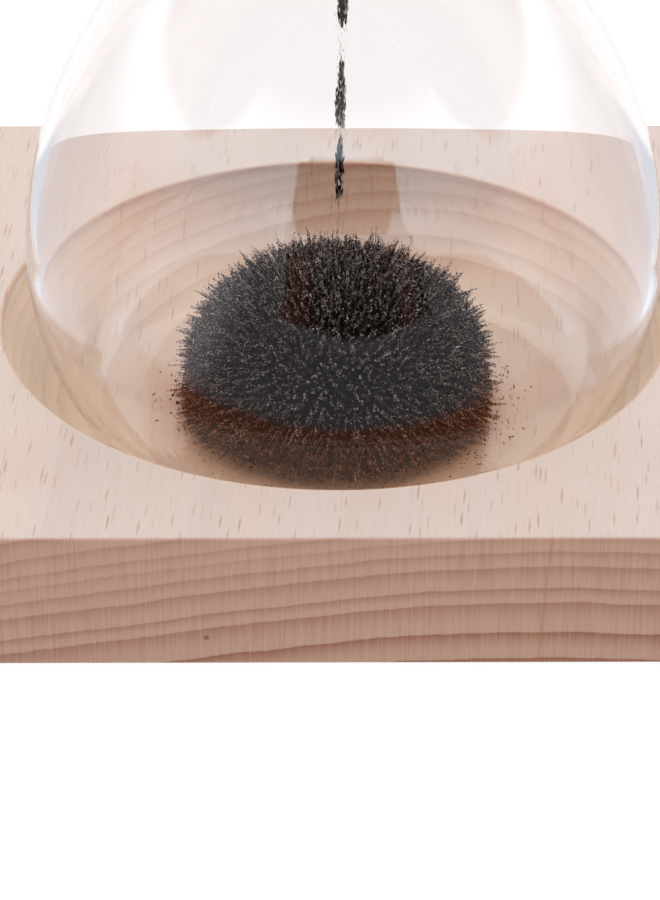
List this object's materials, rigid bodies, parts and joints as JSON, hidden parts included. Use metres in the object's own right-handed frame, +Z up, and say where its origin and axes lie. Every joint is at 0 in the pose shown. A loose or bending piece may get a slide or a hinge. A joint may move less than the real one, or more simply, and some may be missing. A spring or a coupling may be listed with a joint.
{
  "type": "magnetic hourglass",
  "caption": "Square wooden block with a round recess over a hidden disc magnet, carrying a loose sealed glass hourglass whose iron filings stand up in a spiky heap.",
  "frame": {"origin": "centre of the block's underside, on the surface that it stands on", "axes": "+Z up along the glass, -Y the front, +X to the right as seen from the front"},
  "size_m": [0.08, 0.08, 0.1366],
  "materials": {
    "beech": "fine-sanded, unvarnished, with growth rings on the end grain and brown ray flecks on top",
    "nickel": "satin nickel plating",
    "felt": "pressed felt",
    "clear_glass": "clear blown glass, flame polished",
    "iron_filings": "black, coarse and bristling, with small glints"
  },
  "bodies": {
    "base": {"base_block": "beech", "magnet_disc": "nickel", "felt_disc": "felt"},
    "hourglass": {"glass_lower_bulb": "clear_glass", "glass_upper_bulb": "clear_glass", "glass_seal": "clear_glass", "filings_heap": "iron_filings", "filings_stream": "iron_filings", "filings_reserve": "iron_filings", "stray_filings": "iron_filings"}
  },
  "joints": [
    {"name": "glass_lift", "type": "slide", "parent": "base", "child": "hourglass", "axis": [0, 0, 1], "range_m": [0, 0.06]}
  ]
}
